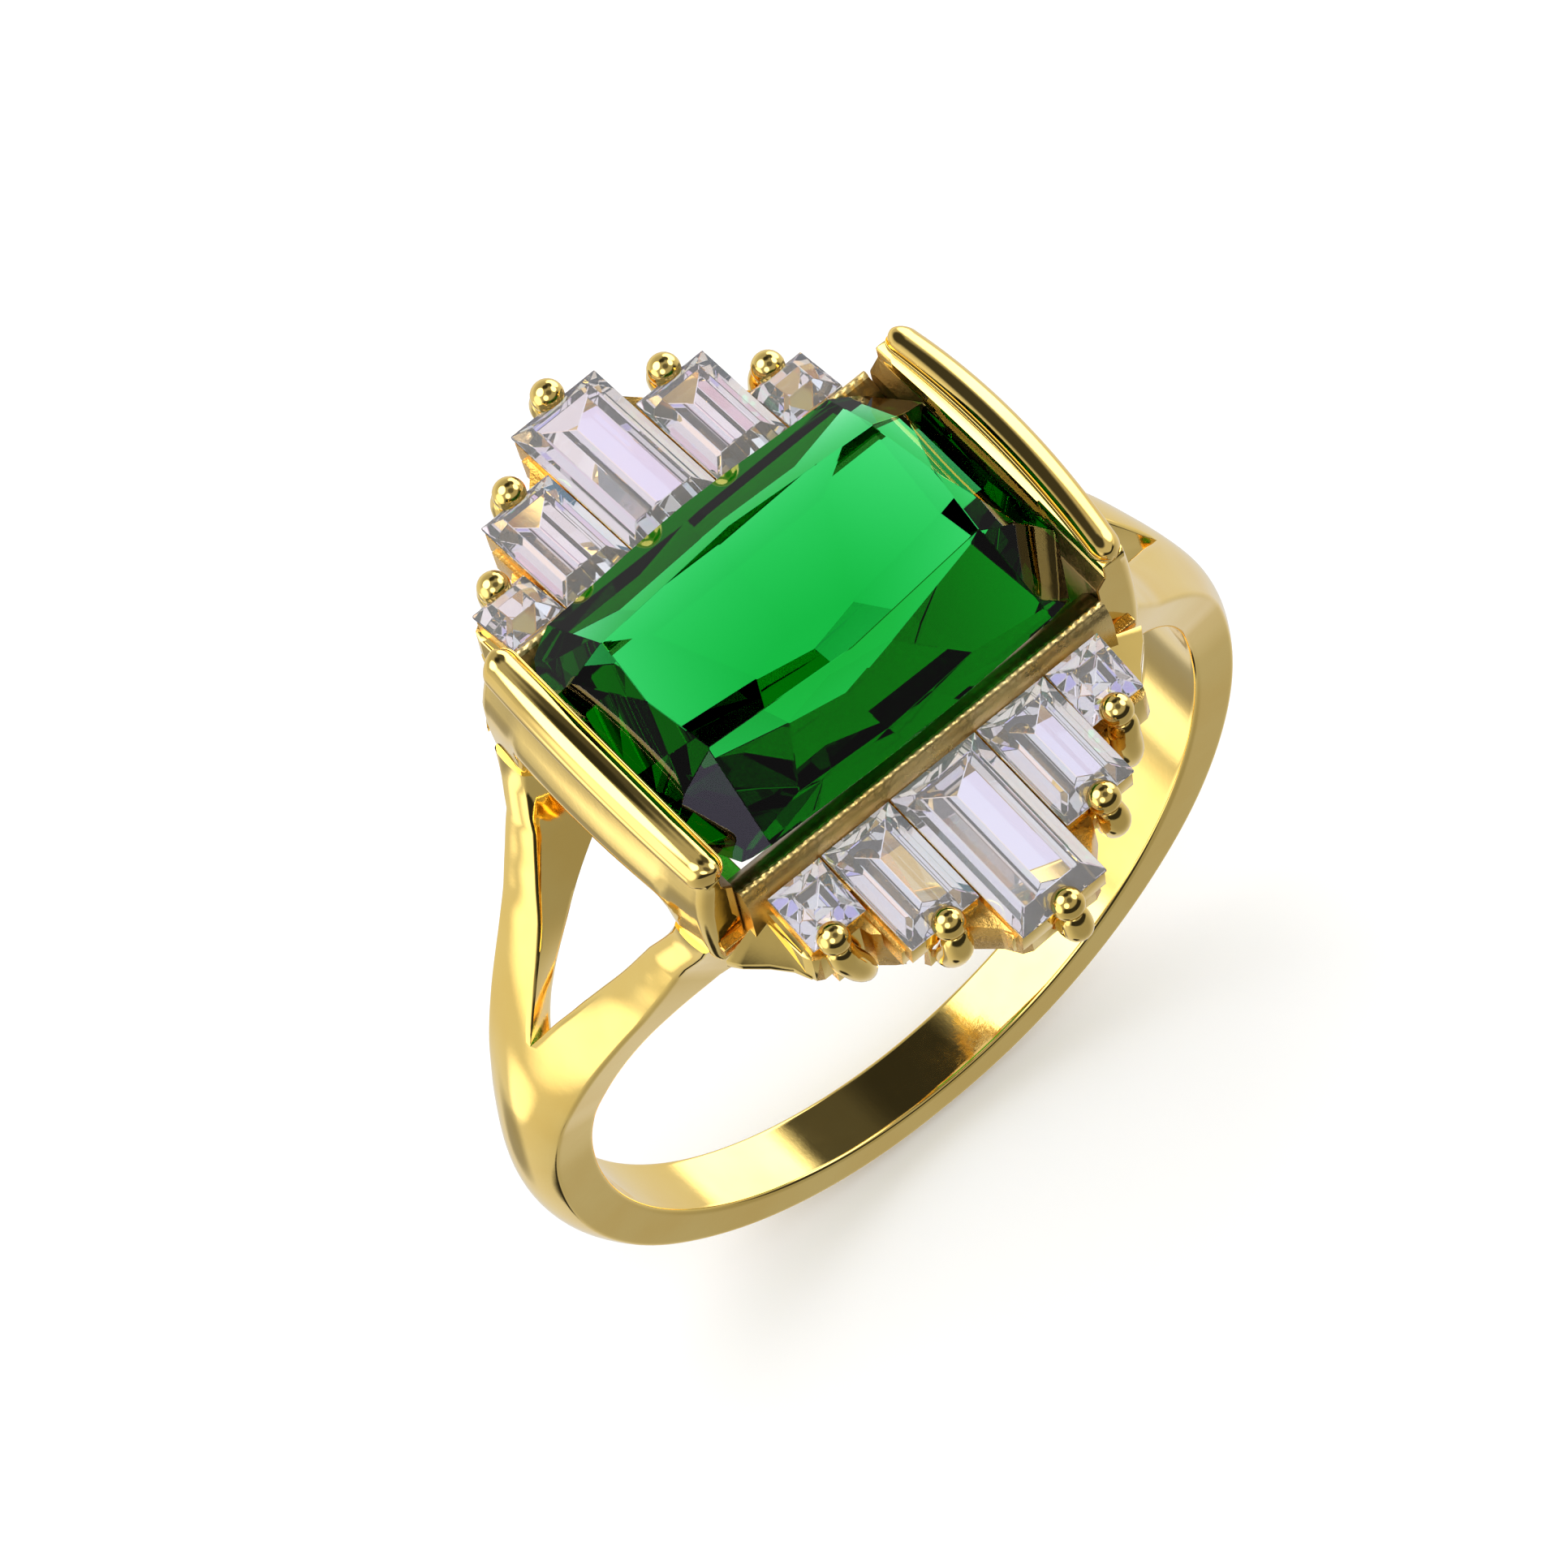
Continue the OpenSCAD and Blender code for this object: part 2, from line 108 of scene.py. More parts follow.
# ---------------------------------------------------------------- materials


def nodes_of(name):
    mat = bpy.data.materials.new(name)
    mat.use_nodes = True
    tree = mat.node_tree
    tree.nodes.clear()
    out = tree.nodes.new("ShaderNodeOutputMaterial")
    shader = tree.nodes.new("ShaderNodeBsdfPrincipled")
    tree.links.new(shader.outputs[0], out.inputs["Surface"])
    return mat, tree, shader, out


def add(tree, kind, **values):
    node = tree.nodes.new(kind)
    for key, value in values.items():
        if key in node.inputs:
            node.inputs[key].default_value = value
        else:
            setattr(node, key, value)
    return node


def ramp(tree, source, stops):
    node = tree.nodes.new("ShaderNodeValToRGB")
    while len(node.color_ramp.elements) < len(stops):
        node.color_ramp.elements.new(0.5)
    for element, (at, colour) in zip(node.color_ramp.elements, stops):
        element.position = at
        element.color = (*colour, 1) if len(colour) == 3 else (colour[0],) * 3 + (1,)
    tree.links.new(source, node.inputs[0])
    return node


def gold(name, pale, deep, smooth, rough, grain, grain_size, scratches=0.0):
    """Polished or cast yellow gold. grain_size is in millimetres."""
    mat, tree, shader, _ = nodes_of(name)
    link = tree.links.new
    shader.inputs["Metallic"].default_value = 1.0
    where = add(tree, "ShaderNodeTexCoord")
    clouds = add(tree, "ShaderNodeTexNoise", Scale=420.0, Detail=3.0, Roughness=0.55)
    link(where.outputs["Object"], clouds.inputs["Vector"])
    tone = ramp(tree, clouds.outputs[0], [(0.3, deep), (0.72, pale)])
    link(tone.outputs[0], shader.inputs["Base Color"])
    wear = add(tree, "ShaderNodeTexNoise", Scale=1500.0, Detail=6.0, Roughness=0.65)
    link(where.outputs["Object"], wear.inputs["Vector"])
    gloss = ramp(tree, wear.outputs[0], [(0.35, (smooth,)), (0.8, (rough,))])
    link(gloss.outputs[0], shader.inputs["Roughness"])
    fine = add(tree, "ShaderNodeTexNoise", Scale=1000.0 / grain_size, Detail=4.0, Roughness=0.6)
    link(where.outputs["Object"], fine.inputs["Vector"])
    bump = add(tree, "ShaderNodeBump", Strength=grain, Distance=0.00002)
    link(fine.outputs[0], bump.inputs["Height"])
    last = bump
    if scratches:
        stretch = add(tree, "ShaderNodeMapping")
        stretch.inputs["Scale"].default_value = (9000, 700, 900)
        stretch.inputs["Rotation"].default_value = (0.4, 0.3, 0.9)
        link(where.outputs["Object"], stretch.inputs["Vector"])
        lines = add(tree, "ShaderNodeTexNoise", Scale=1.0, Detail=2.0)
        link(stretch.outputs[0], lines.inputs["Vector"])
        last = add(tree, "ShaderNodeBump", Strength=scratches, Distance=0.000004)
        link(lines.outputs[0], last.inputs["Height"])
        link(bump.outputs[0], last.inputs["Normal"])
    link(last.outputs[0], shader.inputs["Normal"])
    return mat


def gem(name, ior, tint, cloud, density=None, absorb=None, film=0.0, clarity=1.0):
    """Faceted stone: clear refracting body, with constant absorption where it is coloured."""
    mat, tree, shader, out = nodes_of(name)
    link = tree.links.new
    shader.inputs["Transmission Weight"].default_value = clarity
    shader.inputs["IOR"].default_value = ior
    if film:
        shader.inputs["Thin Film Thickness"].default_value = film
        shader.inputs["Thin Film IOR"].default_value = 1.38
    where = add(tree, "ShaderNodeTexCoord")
    veil = add(tree, "ShaderNodeTexNoise", Scale=700.0, Detail=4.0)
    link(where.outputs["Object"], veil.inputs["Vector"])
    tone = ramp(tree, veil.outputs[0], [(0.35, tint), (0.75, cloud)])
    link(tone.outputs[0], shader.inputs["Base Color"])
    polish = add(tree, "ShaderNodeTexNoise", Scale=2600.0, Detail=5.0)
    link(where.outputs["Object"], polish.inputs["Vector"])
    gloss = ramp(tree, polish.outputs[0], [(0.5, (0.0,)), (0.9, (0.02,))])
    link(gloss.outputs[0], shader.inputs["Roughness"])
    if density:
        body = add(tree, "ShaderNodeVolumeAbsorption", Color=(*absorb, 1), Density=density)
        link(body.outputs[0], out.inputs["Volume"])
    return mat


GOLD = gold("gold_polished", (1.0, 0.755, 0.25), (0.96, 0.68, 0.19), 0.045, 0.13, 0.05, 0.22, 0.10)
GOLD_BAR = gold("gold_burnished", (1.0, 0.75, 0.25), (0.96, 0.67, 0.19), 0.03, 0.10, 0.04, 0.3, 0.14)
GOLD_CAST = gold("gold_cast", (0.98, 0.66, 0.20), (0.80, 0.43, 0.08), 0.16, 0.42, 0.9, 0.09)
GOLD_BEAD = gold("gold_beaded", (1.0, 0.80, 0.38), (0.94, 0.66, 0.22), 0.26, 0.42, 0.5, 0.06)
# painted shade: a darkened copy of the gold for the inner faces under the stone, where shade falls; its greater
# roughness stands for an unpolished inside
GOLD_PAINTED_SHADE = gold("gold_rough_painted_shade", (0.42, 0.27, 0.08), (0.26, 0.15, 0.04), 0.28, 0.5, 0.6, 0.12)
GREEN = gem("stone_green", 1.62, (0.93, 1.0, 0.95), (0.86, 1.0, 0.90), 1100.0, (0.0, 0.80, 0.38))
CLEAR = gem("stone_clear", 1.98, (1.0, 0.985, 0.99), (0.97, 0.98, 1.0), film=430.0, clarity=0.88)

# ---------------------------------------------------------------- mesh helpers


def smooth_curve(points):
    """A function through given (position, value) pairs, with no overshoot between them."""
    xs, ys = [p[0] for p in points], [p[1] for p in points]
    n = len(xs)
    step = [(ys[i + 1] - ys[i]) / (xs[i + 1] - xs[i]) for i in range(n - 1)]
    slope = [step[0]] + [
        0.0 if step[i - 1] * step[i] <= 0 else 2 * step[i - 1] * step[i] / (step[i - 1] + step[i])
        for i in range(1, n - 1)
    ] + [step[-1]]

    def at(x):
        x = min(max(x, xs[0]), xs[-1])
        i = min(max(sum(1 for v in xs if v <= x) - 1, 0), n - 2)
        h = xs[i + 1] - xs[i]
        t = (x - xs[i]) / h
        return (
            ys[i] * (2 * t**3 - 3 * t**2 + 1) + h * slope[i] * (t**3 - 2 * t**2 + t)
            + ys[i + 1] * (3 * t**2 - 2 * t**3) + h * slope[i + 1] * (t**3 - t**2)
        )

    return at


def ease(a, b, x):
    t = min(max((x - a) / (b - a), 0), 1)
    return t * t * (3 - 2 * t)


class Sheet:
    """Points and faces in millimetres, gathered before they become one piece."""

    def __init__(self):
        self.points, self.faces = [], []

    def row(self, points):
        first = len(self.points)
        self.points += [tuple(p) for p in points]
        return list(range(first, first + len(points)))

    def loft(self, rows, round_=False, caps=(False, False)):
        """Quads between rows of equal length; round_ closes each row, caps closes the first and last."""
        ids = [self.row(r) for r in rows]
        for a, b in zip(ids, ids[1:]):
            count = len(a) if round_ else len(a) - 1
            for i in range(count):
                j = (i + 1) % len(a)
                self.faces.append((a[i], a[j], b[j], b[i]))
        if caps[0]:
            self.faces.append(tuple(reversed(ids[0])))
        if caps[1]:
            self.faces.append(tuple(ids[-1]))

    def mirrored(self, axis):
        """Adds the mirror image across the plane where that axis is zero."""
        shift = len(self.points)
        self.points += [tuple(-c if i == axis else c for i, c in enumerate(p)) for p in self.points]
        self.faces += [tuple(shift + i for i in reversed(f)) for f in self.faces]


def finish_mesh(bm, name, material, nodes, sharp=50.0, weighted=True, second=None):
    """Makes the piece; second is another material and a test of a face's centre and normal that picks it."""
    if second:
        for face in bm.faces:
            face.material_index = int(second[1](face.calc_center_median() / MM, face.normal))
    mesh = bpy.data.meshes.new(name)
    bm.to_mesh(mesh)
    bm.free()
    mesh.materials.append(material)
    if second:
        mesh.materials.append(second[0])
    obj = bpy.data.objects.new(name, mesh)
    bpy.context.scene.collection.objects.link(obj)
    if sharp:
        mesh.polygons.foreach_set("use_smooth", [True] * len(mesh.polygons))
        mesh.set_sharp_from_angle(angle=math.radians(sharp))
        if weighted:
            obj.modifiers.new("even_shading", "WEIGHTED_NORMAL").keep_sharp = True
    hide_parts(*nodes)
    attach(obj, "root")
    return obj


def piece(name, sheet, material, nodes, sharp=50.0, weighted=True, second=None):
    bm = bmesh.new()
    made = [bm.verts.new([c * MM for c in p]) for p in sheet.points]
    for face in sheet.faces:
        if len(set(face)) > 2:
            bm.faces.new([made[i] for i in face])
    bmesh.ops.remove_doubles(bm, verts=bm.verts, dist=1.5e-6)
    bmesh.ops.dissolve_degenerate(bm, dist=1e-7, edges=bm.edges)
    bmesh.ops.recalc_face_normals(bm, faces=bm.faces)
    return finish_mesh(bm, name, material, nodes, sharp, weighted, second)


def refined(name, node, material, width, segments=2, sharp=35.0, limit=8.0, second=None, merge=True):
    """A piece cut to a CAD node's shape, with its edges rounded by width millimetres."""
    bm = bmesh.new()
    bm.from_mesh(NODES[node].data)
    bmesh.ops.remove_doubles(bm, verts=bm.verts, dist=1e-7)
    if merge:
        bmesh.ops.dissolve_limit(bm, angle_limit=math.radians(1.0), verts=bm.verts, edges=bm.edges)
    edges = [e for e in bm.edges if len(e.link_faces) == 2 and e.calc_face_angle(0) > math.radians(limit)]
    bmesh.ops.bevel(
        bm, geom=edges, offset=width * MM, offset_type="OFFSET", segments=segments, profile=0.5,
        affect="EDGES", clamp_overlap=True,
    )
    bmesh.ops.triangulate(bm, faces=[f for f in bm.faces if len(f.verts) > 4])
    return finish_mesh(bm, name, material, [node], sharp, second=second)


# ---------------------------------------------------------------- band

# Every angle is from +X (shoulder) up towards +Z (head); -90 is the bottom of the band.
BORE = 8.65
SPLIT_OUT, SPLIT_IN = 23.5, 11.0
edge_radius = smooth_curve([(-90, 9.44), (-50, 9.54), (-32, 9.64), (0, 9.70), (15, 9.69), (25, 9.64), (33, 9.60), (38, 9.63), (44, 9.86), (48.5, 10.15), (52, 10.42)])
crown_radius = smooth_curve([(-90, 9.765), (-50, 9.87), (-20, 10.03), (0, 10.08), (10, 10.05), (18, 9.95), (25, 9.83), (33, 9.75)])
side_width = smooth_curve([(-90, 0.80), (-60, 0.82), (-30, 0.87), (0, 0.99), (11, 1.18), (18, 1.43), (26, 1.75), (33.3, 2.08), (41.4, 2.5), (48.4, 2.87), (52.6, 3.07)])
gap_front = smooth_curve([(SPLIT_OUT, 0.0), (29.5, 0.38), (32, 0.56), (35, 0.76), (39, 1.05), (43, 1.38), (48.5, 1.80), (54, 2.22)])
gap_back = smooth_curve([(SPLIT_IN, 0.0), (18, 0.42), (25.2, 0.72), (29.4, 0.84), (37.6, 1.06), (45, 1.34), (52.2, 1.60)])


def band_section(bore, edge, width, front, back, crown, arm_crown, valley, blend):
    """Half of one section, from the gap or centre line over the outside, the side and the bore to the gap's back edge."""
    run = Vector((edge[0] - bore[0], edge[1] - bore[1]))
    thick = run.length
    out = run.normalized()
    top, low = 0.13, 0.11
    middle, half = (front + width) / 2, max((width - front) / 2, 0.1)

    def height(y):
        whole = crown * (1 - (y / width) ** 2)
        arm = arm_crown * (1 - ((y - middle) / half) ** 2)
        return thick + whole * (1 - blend) + arm * blend

    def lean(y):
        return (height(y + 0.005) - height(y - 0.005)) / 0.01

    turn = 0.3
    for _ in range(6):
        start = width - top + top * math.sin(turn)
        turn = math.atan(-lean(start))
    centre = height(start) - top * math.cos(turn)
    soft = min(0.05, front * 0.4)
    pts = []
    first = front + soft
    for i in range(11):
        y = first + (start - first) * i / 10
        pts.append((y, height(y)))
    for i in range(1, 6):
        a = turn + (math.pi / 2 - turn) * i / 5
        pts.append((width - top + top * math.sin(a), centre + top * math.cos(a)))
    for share in (0.06, 0.5, 0.94):
        pts.append((width, centre + (low - centre) * share))
    for i in range(6):
        a = math.pi / 2 * i / 5
        pts.append((width - low + low * math.cos(a), low - low * math.sin(a)))
    back_soft = min(0.05, back * 0.4)
    last = back + back_soft
    for share in (0.08, 0.35, 0.65, 0.93, 1):
        pts.append((width - low + (last - width + low) * share, 0.0))
    if back > 0:
        high = (front, height(front) - soft) if valley is None else (0.0, valley)
        pts.append((back, back_soft))
        for share in (0.12, 0.5, 0.88):
            pts.append((back + (high[0] - back) * share, back_soft + (high[1] - back_soft) * share))
        pts.append(high)
        pts.append((first, height(first)) if valley is None else high)
    else:
        pts += [(0.0, 0.0)] * 6
    return [(bore[0] + out[0] * h, y, bore[1] + out[1] * h) for y, h in pts]


def make_band():
    sheet = Sheet()
    angles = [-90 + 1.5 * i for i in range(60)] + [0 + 1.0 * i for i in range(51)] + [SPLIT_OUT, SPLIT_OUT + 0.5, SPLIT_IN + 0.5]
    rows = []
    for a in sorted(set(angles)):
        c, s = math.cos(math.radians(a)), math.sin(math.radians(a))
        edge, width = edge_radius(a), side_width(a)
        front = gap_front(a) if a > SPLIT_OUT else 0.0
        back = gap_back(a) if a > SPLIT_IN else 0.0
        share = (a - SPLIT_IN) / (SPLIT_OUT - SPLIT_IN)
        crown = crown_radius(a) - edge
        valley = None if a > SPLIT_OUT else max(share, 0) * (edge + crown - BORE)
        rows.append(band_section((BORE * c, BORE * s), (edge * c, edge * s), width, front, back, crown, 0.07, valley, ease(SPLIT_OUT, 40, a)))
    # the arms straighten and run up into the head
    for bore, edge, width, front, back in (
        ((5.30, 6.84), (6.49, 8.18), 3.09, 2.10, 1.60),
        ((5.30, 7.55), (6.33, 8.52), 3.30, 2.30, 1.75),
        ((5.30, 8.35), (6.22, 8.84), 3.48, 2.45, 1.85),
        ((5.30, 9.15), (6.16, 9.15), 3.60, 2.52, 1.9),
    ):
        rows.append(band_section(bore, edge, width, front, back, 0.1, 0.07, None, 1.0))
    sheet.loft(rows)
    sheet.faces.append(tuple(range(len(sheet.points) - len(rows[-1]), len(sheet.points) - 1)))
    sheet.mirrored(1)
    sheet.mirrored(0)
    piece("band", sheet, GOLD, ["shank"])


make_band()

# ---------------------------------------------------------------- head: end walls and bars

HEAD_BOTTOM, WALL_TOP, WALL_HALF, BOW, ARCH = 8.82, 12.0, 3.85, 0.24, 0.35
# the wall's section seen along Y: (x, height, share of the bow), then the same at the corners, then the corner rounding
WALL = [
    (5.21, 9.00, 0, 5.21, HEAD_BOTTOM, 0, 0.04), (5.21, 9.10, 0, 5.21, 8.95, 0, 0.04), (5.21, 11.30, 0, 5.21, 11.30, 0, 0.04),
    (5.23, 11.36, 0, 5.23, 11.36, 0, 0.04), (5.47, 11.58, 0, 5.47, 11.58, 0, 0.04), (5.49, 11.62, 0, 5.49, 11.62, 0, 0.04),
    (5.49, 11.95, 0, 5.49, 11.95, 0, 0.04), (5.51, 12.00, 0.2, 5.51, 12.00, 0.2, 0.05), (5.85, 12.00, 1, 5.85, 12.00, 1, 0.12),
    (5.97, 11.99, 1, 5.97, 11.99, 1, 0.18), (6.02, 11.94, 1, 6.02, 11.94, 1, 0.24), (6.045, 11.85, 1, 6.045, 11.85, 1, 0.28),
    (6.08, 11.60, 1, 6.07, 11.60, 1, 0.30), (6.115, 11.25, 1, 6.09, 11.25, 1, 0.30), (6.15, 10.90, 1, 6.10, 10.85, 1, 0.30),
    (6.17, 10.66, 1, 6.10, 10.45, 1, 0.30), (6.165, 10.50, 1, 6.10, 10.15, 1, 0.30), (6.14, 10.38, 0.95, 6.09, 9.92, 1, 0.30),
    (6.09, 10.29, 0.85, 6.08, 9.70, 1, 0.30), (6.02, 10.23, 0.70, 6.065, 9.50, 1, 0.30), (5.95, 10.19, 0.35, 6.05, 9.32, 1, 0.30),
    (5.93, 10.12, 0.12, 6.035, 9.17, 0.9, 0.28), (5.93, 10.02, 0.05, 6.01, 9.03, 0.8, 0.25), (5.93, 9.55, 0, 5.97, 8.93, 0.7, 0.20),
    (5.93, 9.08, 0, 5.91, 8.86, 0.5, 0.12), (5.89, 9.00, 0, 5.85, HEAD_BOTTOM, 0.4, 0.06),
]


def bar_line(side, y):
    """Distance from the centre line to the middle of a bar; the two bars are not quite alike."""
    near, middle, far = (5.53, 5.66, 5.46) if side < 0 else (5.79, 6.08, 5.96)
    t = min(max(y / WALL_HALF, -1), 1)
    return middle + (far - near) / 2 * t + ((far + near) / 2 - middle) * t * t


def make_wall(side, name, node):
    sheet = Sheet()
    inside = [-3.5 + 7.0 * i / 56 for i in range(57)]
    turns = [math.radians(a) for a in (0, 12, 24, 38, 52, 66, 80, 90)]
    rows = []

    def row(y, end=0, a=0.0):
        t = y / WALL_HALF
        share = ease(2.30, 2.72, abs(y))
        mid = [(x + (X - x) * share, z + (Z - z) * share, r, b + (B - b) * share) for x, z, b, X, Z, B, r in WALL]
        pts = []
        for i, (x, z, r, b) in enumerate(mid):
            top = bar_line(side, y) - 5.67
            rim = BOW * (1 - t * t) if side < 0 else top
            bow = (rim + (top - rim) * ease(10.7, 11.95, z)) * b
            z += ARCH * (1 - t * t) * ease(11.1, 11.9, z)
            if end:
                before, after = mid[i - 1], mid[(i + 1) % len(mid)]
                normal = Vector((before[1] - after[1], after[0] - before[0]))
                normal = normal.normalized() if normal.length else Vector((1, 0))
                shrink = r * (1 - math.cos(a))
                x, z = x - normal[0] * shrink, z - normal[1] * shrink
                pts.append((side * (x + bow), end * (WALL_HALF - r * (1 - math.sin(a))), z))
            else:
                pts.append((side * (x + bow), y, z))
        return pts

    rows += [row(-3.52, -1, a) for a in reversed(turns)]
    rows += [row(y) for y in inside]
    rows += [row(3.52, 1, a) for a in turns]
    sheet.loft(rows, round_=True, caps=(True, True))
    # the wall's inner faces under the stone get the darkened gold: painted shade
    piece(name, sheet, GOLD, [node], sharp=60, second=(GOLD_PAINTED_SHADE, lambda centre, normal: abs(centre.x) < 5.48 and centre.z < 11.6))


def bar_section(reach, low):
    """A bar's section: a thin lip over the stone, a groove, then a dome that reaches a given distance outwards."""
    peak, top = reach / 2 - 0.18, 0.47
    lip = [(-0.16, -0.03), (-0.42, 0.12), (-0.455, 0.16), (-0.46, 0.20), (-0.445, 0.232), (-0.42, 0.243), (-0.395, 0.235), (-0.375, 0.205)]
    turns = [math.radians(6 * i) for i in range(16)]
    inner = [(peak - (peak + 0.36) * math.cos(a), 0.16 + (top - 0.16) * math.sin(a)) for a in turns[2:15]]
    outer = [(peak + (reach - peak) * math.sin(a), low + (top - low) * math.cos(a)) for a in turns]
    return lip + inner + outer + [(reach - 0.015, low - 0.05), (reach - 0.06, low - 0.08), (0.27, low - 0.09)]


def make_bar(side, name, node):
    sheet = Sheet()
    half = 3.42
    section = bar_section(0.61, -0.03) if side < 0 else bar_section(0.466, 0.05)

    def row(y, wide, high):
        t = min(abs(y) / half, 1)
        full = 1 - t * t
        centre = bar_line(side, y)
        across = (0.40 + 0.04 * full) / 0.465 * wide
        return [(side * (centre + x * across), y, WALL_TOP + ARCH * full + z * high) for x, z in section]

    def end(sign):
        made = []
        for i in range(11):
            a = math.pi / 2 * i / 11
            made.append(row(sign * (half + 0.42 * math.sin(a)), max(math.cos(a), 0.03) ** 0.92, 0.34 + 0.66 * math.cos(a) ** 0.55))
        return made

    steps = 60
    middle = [row(-half + 2 * half * i / steps, 1, 1) for i in range(1, steps)]
    sheet.loft(list(reversed(end(-1))) + middle + end(1), round_=True, caps=(True, True))
    piece(name, sheet, GOLD_BAR, [node], sharp=60)


for side, word in ((-1, "left"), (1, "right")):
    make_wall(side, "wall_" + word, "end_wall_" + word)
    make_bar(side, "bar_round_" + word, "bar_" + word)

# ---------------------------------------------------------------- head: side rails

RAIL_TOP, RAIL_HALF, BEAD = 11.15, 5.19, 0.24


def make_rail(side, name, node):
    sheet = Sheet()
    rows = []
    steps = int(2 * RAIL_HALF / 0.03)
    for i in range(steps + 1):
        x = -RAIL_HALF + 2 * RAIL_HALF * i / steps
        bump = abs(math.sin(math.pi * x / BEAD))
        bead = 0.035 * bump**0.6
        fat = 0.016 * bump**0.6
        ripple = 0.006 * math.sin(x * 7.3) + 0.004 * math.sin(x * 17.1 + 1)
        rows.append([
            (x, side * y, z) for y, z in (
                (3.15, 9.50), (3.15, 10.38), (3.55, 10.92), (3.78, 11.02), (3.90 - fat, RAIL_TOP - 0.10 + bead * 0.4), (3.93 - fat * 0.5, RAIL_TOP - 0.055 + bead * 0.8 + ripple),
                (3.985, RAIL_TOP - 0.035 + bead + ripple), (4.04 + fat * 0.5, RAIL_TOP - 0.055 + bead * 0.8 + ripple), (4.075 + fat, RAIL_TOP - 0.10 + bead * 0.4),
                (4.10, RAIL_TOP - 0.16), (4.16, RAIL_TOP - 0.22), (4.24, 10.75), (4.27, 10.4), (4.26, 9.4), (4.10, 9.28),
            )
        ])
    sheet.loft(rows, round_=True, caps=(True, True))
    # the rail's inner face towards the stone gets the darkened gold: painted shade
    piece(name, sheet, GOLD_BEAD, [node], sharp=55, second=(GOLD_PAINTED_SHADE, lambda centre, normal: abs(centre.y) < 3.86))


make_rail(-1, "rail_front", "side_rail_front")
make_rail(1, "rail_back", "side_rail_back")

# ---------------------------------------------------------------- prongs

SEAT_X = (-3.98, -2.22, 0.0, 2.22, 3.98)
SEAT_HALF = (0.74, 0.96, 1.20, 0.96, 0.74)
SEAT_END = (5.85, 7.32, 8.70, 7.32, 5.85)
SEAT_TILT = tuple(math.radians(a) for a in (15.5, 6.5, 6.5, 6.5, 15.5))
PRONG_X = {"front": (-4.24, -2.22, 0.0, 2.22, 3.86), "back": (-3.95, -2.22, 0.0, 2.22, 3.92)}
LEAN = (0.2, -0.1, 0.0, 0.1, -0.2)
FOOT_Y = (6.10, 7.22, 8.50, 7.22, 6.10)
FOOT_Z = (8.45, 8.72, 9.05, 8.72, 8.45)
FAN_START, FAN_HEIGHT = 4.30, 10.72


def along(points, share):
    """A point on the smooth line through the points, for share from 0 to 1."""
    n = len(points) - 1
    at = min(share * n, n - 1e-9)
    i = int(at)
    t = at - i
    p = [points[max(i - 1, 0)], points[i], points[i + 1], points[min(i + 2, n)]]
    return 0.5 * (2 * p[1] + (p[2] - p[0]) * t + (2 * p[0] - 5 * p[1] + 4 * p[2] - p[3]) * t * t + (3 * p[1] - p[0] - 3 * p[2] + p[3]) * t**3)


def make_prong(i, side, word):
    reach, x = SEAT_END[i] - FAN_START + 0.14, PRONG_X[word][i]
    ball = Vector((x, -FAN_START - reach * math.cos(SEAT_TILT[i]), FAN_HEIGHT + 0.21 - reach * math.sin(SEAT_TILT[i])))
    up = Vector((0, 0.22, 0.975))
    knee = Vector((x + LEAN[i] * 0.3, ball.y - 0.19, ball.z - 0.72))
    foot = Vector((SEAT_X[i] + LEAN[i], -FOOT_Y[i], FOOT_Z[i] + 0.33))
    r = 0.39
    line = [ball - up * r * 0.75, ball - up * 0.42 + Vector((0, -0.05, 0)), knee, (knee + foot) / 2 + Vector((0, -0.05, 0)), foot]
    wide = smooth_curve([(0, 0.262), (0.05, 0.28), (0.12, 0.31), (0.3, 0.35), (0.5, 0.37), (0.75, 0.36), (0.9, 0.33), (1, 0.29)])
    rings = []
    for k in range(1, 15):
        a = math.pi * 0.76 * k / 14
        rings.append((ball + up * r * math.cos(a), r * math.sin(a), up))
    for k in range(1, 25):
        at = along(line, k / 24)
        rings.append((at, wide(k / 24), (along(line, max(k / 24 - 0.02, 0)) - along(line, min(k / 24 + 0.02, 1))).normalized()))
    tip = rings[-1]
    for k in range(1, 6):
        a = math.pi / 2 * k / 6
        rings.append((tip[0] - tip[2] * tip[1] * math.sin(a), tip[1] * math.cos(a), tip[2]))
    sheet = Sheet()
    rows = []
    for centre, radius, axis in rings:
        sideways = Vector((1, 0, 0))
        other = axis.cross(sideways).normalized()
        sideways = other.cross(axis).normalized()
        rows.append([
            (p.x, p.y * (-1 if side > 0 else 1), p.z)
            for p in (centre + (sideways * math.cos(b) + other * math.sin(b)) * radius for b in (2 * math.pi * j / 24 for j in range(24)))
        ])
    sheet.loft(rows, round_=True, caps=(True, True))
    piece(f"claw_{word}_{i + 1}", sheet, GOLD, [f"prong_{word}_{i + 1}"], sharp=70, weighted=False)


for side, word in ((-1, "front"), (1, "back")):
    for i in range(5):
        make_prong(i, side, word)

# ---------------------------------------------------------------- trays, gallery and stones

